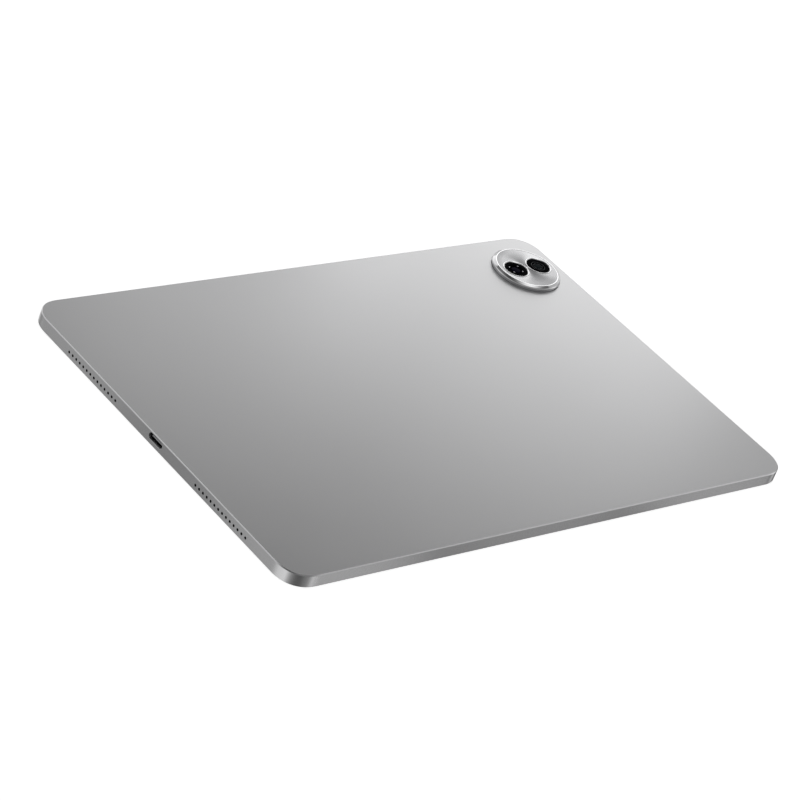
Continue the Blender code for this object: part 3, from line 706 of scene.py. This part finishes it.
dense = []
for a, b in zip(ring_path, ring_path[1:]):
    dense.append(a)
    if math.dist(a, b) > 0.6 and 14.3 < (a[0] + b[0]) / 2 < BUMP_R - 0.05 and b[1] > 7.0:
        dense += [(a[0] + (b[0] - a[0]) * k / 6, a[1] + (b[1] - a[1]) * k / 6) for k in range(1, 6)]
dense.append(ring_path[-1])
ring = make("camera_ring_polished", turned(dense, BUMP_C, TEETH * 4, wobble=grained), [RING], sharp=32.0)
put(ring, "tablet", "polished_aluminium", "camera_ring")

# ---------------------------------------------------------------- spun plate
plate = make("camera_plate_spun", turned(rounded_profile([(13.6, 6.9, 0), (14.22, 6.9, 0), (14.22, PLATE_TOP, 0.05), (13.9, PLATE_TOP, 0)], 4), BUMP_C, 192, closed=False), [SPUN])
cut(plate, [("DIFFERENCE", gather([turned([(RIM_R + 0.03, 6.0), (RIM_R + 0.03, PLATE_TOP - 0.04), (RIM_R + 0.08, PLATE_TOP + 0.01), (RIM_R + 0.08, 9.0)], c, 128, closed=False) for c in LENS.values()]))])
put(plate, "tablet", "spun_aluminium", "camera_plate")

# ---------------------------------------------------------------- lenses
for key, c in LENS.items():
    rim = make("lens_ring_" + key, turned(rounded_profile([
        (RIM_R, 6.9, 0), (RIM_R, RIM_TOP, 0.16), (LENS_R + 0.42, RIM_TOP, 0.08), (LENS_R + 0.07, RIM_TOP - 0.2, 0.03), (LENS_R + 0.07, 6.9, 0),
    ], 6), c, 128), [LENS_RIM], sharp=40.0)
    put(rim, "tablet", "polished_aluminium", "lens_rim_" + key)

# Cover: a black printed ring flush in the rim, then a stepped barrel down to the
# front element. Each lens has its own steps: (radius, z, finish of the face that
# ends there), 0 printed black, 1 barrel black, 2 grey step edge.
STEPS = {
    "second": [(3.75, LENS_TOP - 0.05, 0), (2.80, LENS_TOP - 0.07, 1), (2.72, LENS_TOP - 0.20, 1), (2.45, LENS_TOP - 0.22, 1), (2.38, LENS_TOP - 0.36, 1), (2.15, LENS_TOP - 0.38, 1)],
    "main": [(3.75, LENS_TOP - 0.05, 0), (3.42, LENS_TOP - 0.07, 1), (3.24, LENS_TOP - 0.09, 1), (3.12, LENS_TOP - 0.12, 2), (3.08, LENS_TOP - 0.20, 1), (2.10, LENS_TOP - 0.24, 1), (2.00, LENS_TOP - 0.26, 2), (1.92, LENS_TOP - 0.34, 1)],
}
DOME = {"second": (2.13, LENS_TOP - 0.46, 0.16), "main": (1.90, LENS_TOP - 0.42, 0.22)}
for key, c in LENS.items():
    path = [(LENS_R + 0.05, 7.3, 0), (LENS_R + 0.05, LENS_TOP - 0.03, 0), (LENS_R + 0.02, LENS_TOP, 0), (STEPS[key][0][0] + 0.05, LENS_TOP, 0)]
    path += STEPS[key]
    path += [(path[-1][0], 7.3, 1)]
    segs = 96
    bm = turned([(r, z) for r, z, _ in path], c, segs)
    bm.faces.ensure_lookup_table()
    for i, f in enumerate(bm.faces):
        f.material_index = path[(i // segs + 1) % len(path)][2]
    cover = make("lens_cover_" + key, bm, [LENS_BLACK, BARREL, STEP], sharp=30.0)
    put(cover, "tablet", "lens_glass", "lens_glass_" + key)
    reach, low, rise = DOME[key]
    dome = [(reach, 7.30), (reach, low)]
    for k in range(1, 12):
        t = k / 12 * math.pi / 2
        dome.append((reach * math.cos(t), low + rise * math.sin(t)))
    element = make("lens_element_" + key, turned(dome, c, 72, closed=False), [ELEMENT[key]], sharp=50.0)
    put(element, "tablet", "lens_glass")

# Four small pale dots round the second lens's barrel, light-coloured to stand in for glints of light there: painted
# highlights.
glint_dots = []
for az in (35.0, 138.0, 213.0, 315.0):
    a = math.radians(az)
    x, y = LENS["second"][0] + 3.12 * math.cos(a), LENS["second"][1] + 3.12 * math.sin(a)
    bm = turned([(0.24, LENS_TOP - 0.12), (0.24, LENS_TOP - 0.045), (0.19, LENS_TOP - 0.015)], (0.0, 0.0), 20, closed=False)
    turn = Matrix.Rotation(a, 4, "Z")
    for v in bm.verts:
        v.co = turn @ Vector((v.co.x * 0.95, v.co.y * 1.9, v.co.z)) + Vector((x, y, 0.0))
    glint_dots.append(bm)
glint_piece = make("painted_glint_spots_second", gather(glint_dots), [GLINT], sharp=35.0)
put(glint_piece, "tablet", "lens_glass")

# ---------------------------------------------------------------- USB-C socket
shell_out = (USB_HI.y - USB_LO.y, USB_HI.z - USB_LO.z)
shell_in = (shell_out[0] - 0.4, shell_out[1] - 0.4)
x0, x1 = USB_LO.x, USB_HI.x
# painted shade: the shell's near-black colour stands in for the shade inside the opening
shell = make("usb_shell", loft([[(x, a, USB_Z + b) for a, b in pill(*size)] for x, size in (
    (x0 + 0.1, shell_out), (x1, shell_out), (x1, shell_in), (x0 + 0.25, shell_in), (x0, (shell_out[0] - 0.16, shell_out[1] - 0.16)),
)], closed=True), [SHELL_SHADE], sharp=35.0)
put(shell, "tablet", "tinned_steel", "usb_c_shell")

tongue_parts = []
base = block(-130.2, -128.0, -3.6, 3.6, USB_Z - 0.85, USB_Z + 0.85, 0.06)
blade = block(-136.2, -129.9, -3.35, 3.35, USB_Z - 0.35, USB_Z + 0.35, 0.12)
for part in (base, blade):
    for f in part.faces:
        f.material_index = 0
tongue_parts += [base, blade]
for k in range(12):
    y = -2.75 + 0.5 * k
    for s in (1, -1):
        pad = block(-135.75 if k in (0, 11) else -135.5, -130.3, y - 0.125, y + 0.125, USB_Z + s * 0.34 - 0.02, USB_Z + s * 0.34 + 0.02)
        for f in pad.faces:
            f.material_index = 1
        tongue_parts.append(pad)
tongue = make("usb_tongue", gather(tongue_parts), [TONGUE_LIT, GOLD], sharp=35.0)
put(tongue, "tablet", "black_plastic", "usb_c_tongue")


# ---------------------------------------------------------------- keys
def key_sections(length, high, out, root):
    """Sections of a key cap from its face inwards: crowned face, cut edge, straight sides."""
    return [(out, pill(length - 0.36, high - 0.36)), (out - 0.02, pill(length - 0.24, high - 0.24)),
            (out - 0.12, pill(length, high)), (root, pill(length, high))]


def key_faces(ob, axis, out):
    for p in ob.data.polygons:
        c, n = p.center / MM, p.normal
        p.material_index = 1 if (out - 0.13 < c[axis] < out - 0.015) and 0.3 < n[axis] < 0.95 else 0


power = make("power_key_cap", along_x(key_sections(POWER_LEN, KEY_HIGH, P_HI.x, P_LO.x), POWER_Y, KEY_Z), [SIDE, CUT], sharp=25.0)
cut(power, [("UNION", block(P_LO.x, P_LO.x + 0.5, P_LO.y, P_HI.y, P_LO.z, P_HI.z))], sharp=25.0)
key_faces(power, 0, P_HI.x)
put(power, "power_key", "satin_aluminium", "power_button")

volume = make("volume_key_cap", along_y(key_sections(VOLUME_LEN, KEY_HIGH, V_HI.y, V_LO.y), VOLUME_X, KEY_Z), [SIDE, CUT], sharp=25.0)
cut(volume, [("UNION", block(V_LO.x, V_HI.x, V_LO.y, V_LO.y + 0.45, V_LO.z, V_HI.z))], sharp=25.0)
key_faces(volume, 1, V_HI.y)
put(volume, "volume_key", "satin_aluminium", "volume_rocker")

# ---------------------------------------------------------------- finishes of the carried-over pieces
FINISHES = {
    "display_panel": PANEL, "camera_module_main": SENSOR, "camera_module_second": SENSOR, "camera_bracket": CAN,
    "camera_flex_main": FLEX, "camera_flex_second": FLEX, "battery_cell_left": CELL, "battery_cell_right": CELL,
    "battery_board": BOARD, "battery_flex": FLEX, "main_board": BOARD, "usb_board": BOARD,
    "shield_can_processor": CAN, "shield_can_power": CAN, "shield_can_radio": CAN, "heat_spreader": GRAPHITE,
    "link_flex": FLEX, "display_flex": FLEX, "power_button_pad": BLACK, "power_switch": STEEL, "power_bracket": CAN,
    "volume_switch_up": STEEL, "volume_switch_down": STEEL, "volume_bracket": CAN, "front_camera_module": SENSOR,
    "light_sensor": SENSOR, "microphone_left": CAN, "microphone_right": CAN, "antenna_left": BLACK, "antenna_right": BLACK,
    "folio_magnet_left": MAGNET, "folio_magnet_right": MAGNET,
}
for name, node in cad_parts.items():
    if node.hide_render:
        continue
    mat = FINISHES.get(name)
    if mat is None and "screw" in name:
        mat = STEEL
    if mat is None and name.startswith("speaker_box"):
        mat = BLACK
    if mat is None and name.startswith("speaker_mesh"):
        mat = MESH
    if mat is None:
        raise RuntimeError(f"no finish for {name}")
    if not node.material_slots:
        node.data.materials.append(mat)
    for slot in node.material_slots:
        slot.material = mat

# ---------------------------------------------------------------- stage and light
sheet = bpy.data.meshes.new("floor")
sheet.from_pydata([(-9, -9, -0.00005), (9, -9, -0.00005), (9, 9, -0.00005), (-9, 9, -0.00005)], [], [(0, 1, 2, 3)])
floor = bpy.data.objects.new("floor", sheet)
scene.collection.objects.link(floor)
paper = Finish("floor_paper", (0.86, 0.86, 0.86), 0.9)
paper.set("Base Color", paper.mix(paper.noise(0.4, 2.0), (0.85, 0.85, 0.85), (0.87, 0.87, 0.87)))
paper.set("Emission Color", (1.0, 1.0, 1.0, 1.0))
paper.set("Emission Strength", 0.8)
floor.data.materials.append(paper.mat)
floor.visible_glossy = False
floor.visible_shadow = False

# Soft boxes in the surround: (azimuth, elevation, tightness, strength).
SOFT_BOXES = [
    (-20.0, 5.0, 30.0, 0.816),
    (20.0, 5.0, 30.0, 0.663),
    (60.0, 5.0, 30.0, 0.466),
    (80.0, 5.0, 30.0, 0.853),
    (100.0, 5.0, 30.0, 0.299),
    (-20.0, 26.0, 30.0, 0.443),
    (20.0, 26.0, 30.0, 0.276),
    (40.0, 26.0, 30.0, 0.125),
    (100.0, 26.0, 30.0, 0.377),
    (110.0, 48.0, 30.0, 0.206),
    (0.0, 75.0, 25.0, 0.360),
    (270.0, 75.0, 25.0, 0.465),
    (135.0, 25.0, 12.0, 0.627),
    (180.0, 25.0, 12.0, 0.361),
    (225.0, 25.0, 12.0, 0.369),
    (270.0, 25.0, 12.0, 0.346),
    (315.0, 25.0, 12.0, 0.352),
    (-38.0, 34.0, 90.0, 0.033),
    (-15.0, 70.0, 60.0, 0.462),
    (-10.0, 80.0, 60.0, 0.227),
    (73.0, 28.0, 60.0, 0.052),
]
# Upright soft boxes seen only from below the horizon, which light the side walls: (azimuth, tightness, strength).
SIDE_BOXES = [
    (30.0, 60.0, 0.286),
    (46.0, 60.0, 0.074),
    (62.0, 60.0, 0.612),
    (78.0, 60.0, 0.490),
    (94.0, 60.0, 0.187),
    (110.0, 60.0, 0.382),
    (126.0, 60.0, 0.318),
    (142.0, 60.0, 0.102),
    (158.0, 60.0, 0.693),
    (174.0, 60.0, 0.674),
    (190.0, 60.0, 0.803),
    (206.0, 60.0, 0.342),
    (222.0, 60.0, 0.160),
    (238.0, 60.0, 0.101),
    (254.0, 60.0, 0.095),
    (270.0, 60.0, 0.182),
    (286.0, 60.0, 0.221),
    (302.0, 60.0, 0.715),
    (318.0, 60.0, 0.042),
    (334.0, 60.0, 0.117),
    (350.0, 60.0, 0.606),
]
# Panels near the tablet: (azimuth, elevation, distance in m, size in m, watts).
PANELS = [
    (35.0, 22.0, 0.45, 0.25, 0.073),
    (60.0, 25.0, 0.50, 0.25, 0.095),
    (10.0, 25.0, 0.50, 0.25, 0.040),
    (35.0, 12.0, 0.60, 0.30, 0.155),
]
# Small panels below the floor, which it lets through, for the ends of the side walls: (place, aim, watts), in m.
LOW_PANELS = [
    ((-0.3354, 0.0763, -0.1489), (-0.13725, -0.09000, 0.003), 0.0044),
    ((-0.3354, 0.2563, -0.1489), (-0.13725, 0.09000, 0.003), 0.0026),
    ((0.0682, -0.2565, -0.1489), (-0.13000, -0.09025, 0.003), 0.0070),
    ((0.1982, -0.2565, -0.1489), (0.00000, -0.09025, 0.003), 0.0043),
    ((0.3282, -0.2565, -0.1489), (0.13000, -0.09025, 0.003), 0.0067),
]


def direction(az, el):
    a, e = math.radians(az), math.radians(el)
    return Vector((math.cos(a) * math.cos(e), math.sin(a) * math.cos(e), math.sin(e)))


world = bpy.data.worlds.new("studio")
scene.world = world
world.use_nodes = True
tree = world.node_tree
tree.nodes.clear()
ray = tree.nodes.new("ShaderNodeTexCoord").outputs["Generated"]


def calc(operation, *values):
    n = tree.nodes.new("ShaderNodeMath")
    n.operation = operation
    for i, v in enumerate(values):
        if isinstance(v, bpy.types.NodeSocket):
            tree.links.new(v, n.inputs[i])
        else:
            n.inputs[i].default_value = v
    return n.outputs[0]


def glow(vector, towards, tight):
    """1 towards the box, falling off softly round it."""
    n = tree.nodes.new("ShaderNodeVectorMath")
    n.operation = "DOT_PRODUCT"
    tree.links.new(vector, n.inputs[0])
    n.inputs[1].default_value = towards
    return calc("EXPONENT", calc("MULTIPLY", calc("SUBTRACT", n.outputs["Value"], 1.0), tight))


above = 0.0
for az, el, tight, strength in SOFT_BOXES:
    above = calc("MULTIPLY_ADD", glow(ray, direction(az, el), tight), strength, above)
parts = tree.nodes.new("ShaderNodeSeparateXYZ")
tree.links.new(ray, parts.inputs[0])
level = tree.nodes.new("ShaderNodeCombineXYZ")
tree.links.new(parts.outputs[0], level.inputs[0])
tree.links.new(parts.outputs[1], level.inputs[1])
heading = tree.nodes.new("ShaderNodeVectorMath")
heading.operation = "NORMALIZE"
tree.links.new(level.outputs[0], heading.inputs[0])
below = 0.0
for az, tight, strength in SIDE_BOXES:
    below = calc("MULTIPLY_ADD", glow(heading.outputs[0], direction(az, 0.0), tight), strength, below)
under = tree.nodes.new("ShaderNodeMapRange")
under.interpolation_type = "SMOOTHSTEP"
tree.links.new(parts.outputs[2], under.inputs["Value"])
for k, v in (("From Min", -0.10), ("From Max", 0.0), ("To Min", 1.0), ("To Max", 0.0)):
    under.inputs[k].default_value = v
total = calc("MULTIPLY_ADD", below, under.outputs[0], above)
surround = tree.nodes.new("ShaderNodeBackground")
surround.inputs["Color"].default_value = (1.0, 1.0, 1.0, 1.0)
tree.links.new(total, surround.inputs["Strength"])
plain = tree.nodes.new("ShaderNodeBackground")
plain.inputs["Color"].default_value = (1.0, 1.0, 1.0, 1.0)
plain.inputs["Strength"].default_value = 1.0
path = tree.nodes.new("ShaderNodeLightPath")
choose = tree.nodes.new("ShaderNodeMixShader")
tree.links.new(path.outputs["Is Camera Ray"], choose.inputs[0])
tree.links.new(surround.outputs[0], choose.inputs[1])
tree.links.new(plain.outputs[0], choose.inputs[2])
out = tree.nodes.new("ShaderNodeOutputWorld")
tree.links.new(choose.outputs[0], out.inputs["Surface"])

def lamp(name, at, aim, size, watts):
    data = bpy.data.lights.new(name, "AREA")
    data.shape, data.size, data.energy = "DISK", size, watts
    ob = bpy.data.objects.new(name, data)
    scene.collection.objects.link(ob)
    ob.location = at
    ob.rotation_mode = "QUATERNION"
    ob.rotation_quaternion = (aim - at).to_track_quat("-Z", "Y")
    ob.visible_camera = False


for i, (az, el, far, size, watts) in enumerate(PANELS):
    lamp(f"softbox_{i}", direction(az, el) * far, Vector((0.0, 0.0, 0.0)), size, watts)
for i, (at, aim, watts) in enumerate(LOW_PANELS):
    lamp(f"low_softbox_{i}", Vector(at), Vector(aim), 0.09, watts)
